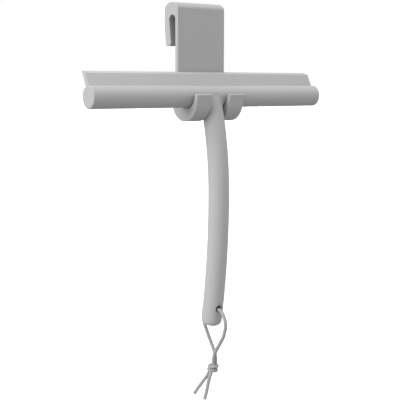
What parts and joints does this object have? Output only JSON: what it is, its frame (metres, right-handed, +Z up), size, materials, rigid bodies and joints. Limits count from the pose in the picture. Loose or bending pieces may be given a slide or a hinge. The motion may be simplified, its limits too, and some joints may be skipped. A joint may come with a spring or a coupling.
{
  "type": "window cleaning squeegee",
  "caption": "T-shaped window squeegee with a leaning rubber blade, a bowed handle and a knotted cord, in a hanger that hooks over a glass panel.",
  "frame": {"origin": "middle of the glass panel's top edge, at the top of the hanger's slot", "axes": "+X along the squeegee's head, +Y back through the glass panel, +Z up"},
  "size_m": [0.24, 0.0575, 0.347],
  "materials": {
    "silicone": "matte soft-touch silicone skin",
    "blade_rubber": "matte moulded silicone rubber",
    "plastic": "moulded plastic, hidden inside",
    "steel": "plain stainless steel, hidden inside",
    "cord": "soft round cord"
  },
  "bodies": {
    "hanger": {"hanger_body": "silicone", "hanger_core": "steel"},
    "squeegee": {"head_core": "plastic", "head_sleeve": "silicone", "end_plug_left": "silicone", "end_plug_right": "silicone", "neck_stud": "steel", "neck_pin": "steel", "handle_tube": "steel", "tube_plug": "plastic", "handle_sleeve": "silicone"},
    "blade": {"blade": "blade_rubber"},
    "cord": {"cord_front": "cord", "cord_back": "cord", "cord_knot": "cord", "cord_tail_left": "cord", "cord_tail_right": "cord"}
  },
  "joints": [
    {"name": "lift_off", "type": "slide", "parent": "hanger", "child": "squeegee", "axis": [0, -0.4226, 0.9063], "range_m": [0, 0.12]},
    {"name": "blade_flex", "type": "hinge", "parent": "squeegee", "child": "blade", "pos_m": [0, -0.02036, -0.06444], "axis": [1, 0, 0], "range_deg": [-1.5, 20], "stiffness_Nm_per_rad": 0.4},
    {"name": "cord_swing", "type": "hinge", "parent": "squeegee", "child": "cord", "pos_m": [0, -0.02672, -0.2538], "axis": [0, 1, 0], "range_deg": [-30, 30]}
  ]
}
